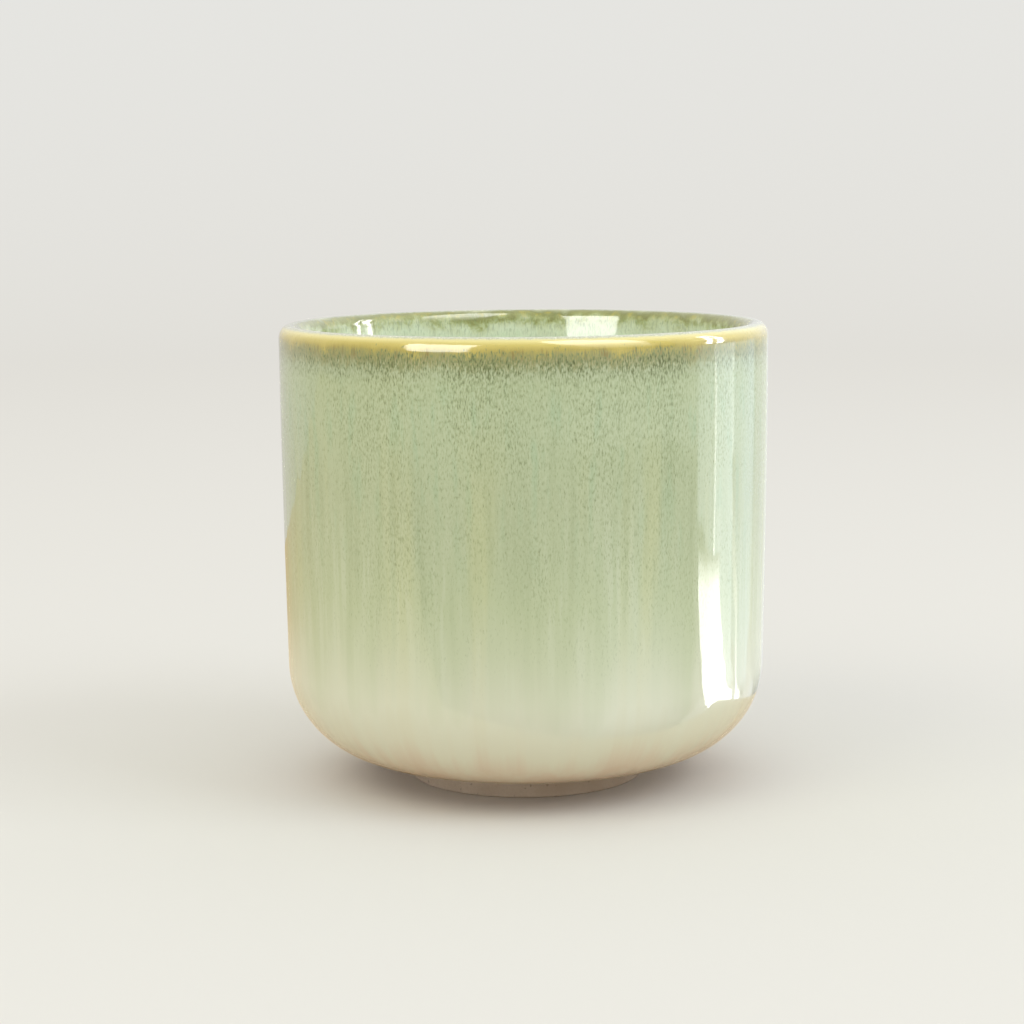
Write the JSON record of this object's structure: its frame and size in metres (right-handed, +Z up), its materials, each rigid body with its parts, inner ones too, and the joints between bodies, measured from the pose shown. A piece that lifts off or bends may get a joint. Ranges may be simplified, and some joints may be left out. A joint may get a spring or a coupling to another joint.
{
  "type": "brush holder pot",
  "caption": "Round-heeled glazed stoneware beaker on a low foot ring, open at the top, that stands on a desk and holds brushes or pens upright.",
  "frame": {"origin": "centre of the circle that the foot ring stands on, in the plane of the table", "axes": "+Z up along the pot's turning axis, towards its open mouth; X and Y are interchangeable because the pot is round"},
  "size_m": [0.12, 0.12, 0.1127],
  "materials": {
    "stoneware": "fired stoneware, bare and matte",
    "bare_foot": "fired stoneware, sponged smooth and unglazed",
    "sage_glaze": "glossy sage green reactive glaze with fine dark runs, fading to cream at the heel",
    "honey_glaze": "glossy honey glaze, breaking to olive runs at its lower edge",
    "mint_glaze": "glossy mint green liner glaze with olive mottling near the rim",
    "cream_glaze": "satin cream glaze"
  },
  "bodies": {
    "root": {"clay_body": "stoneware", "foot_ring": "bare_foot", "outer_glaze": "sage_glaze", "rim_glaze": "honey_glaze", "inner_glaze": "mint_glaze", "base_glaze": "cream_glaze"}
  },
  "joints": []
}
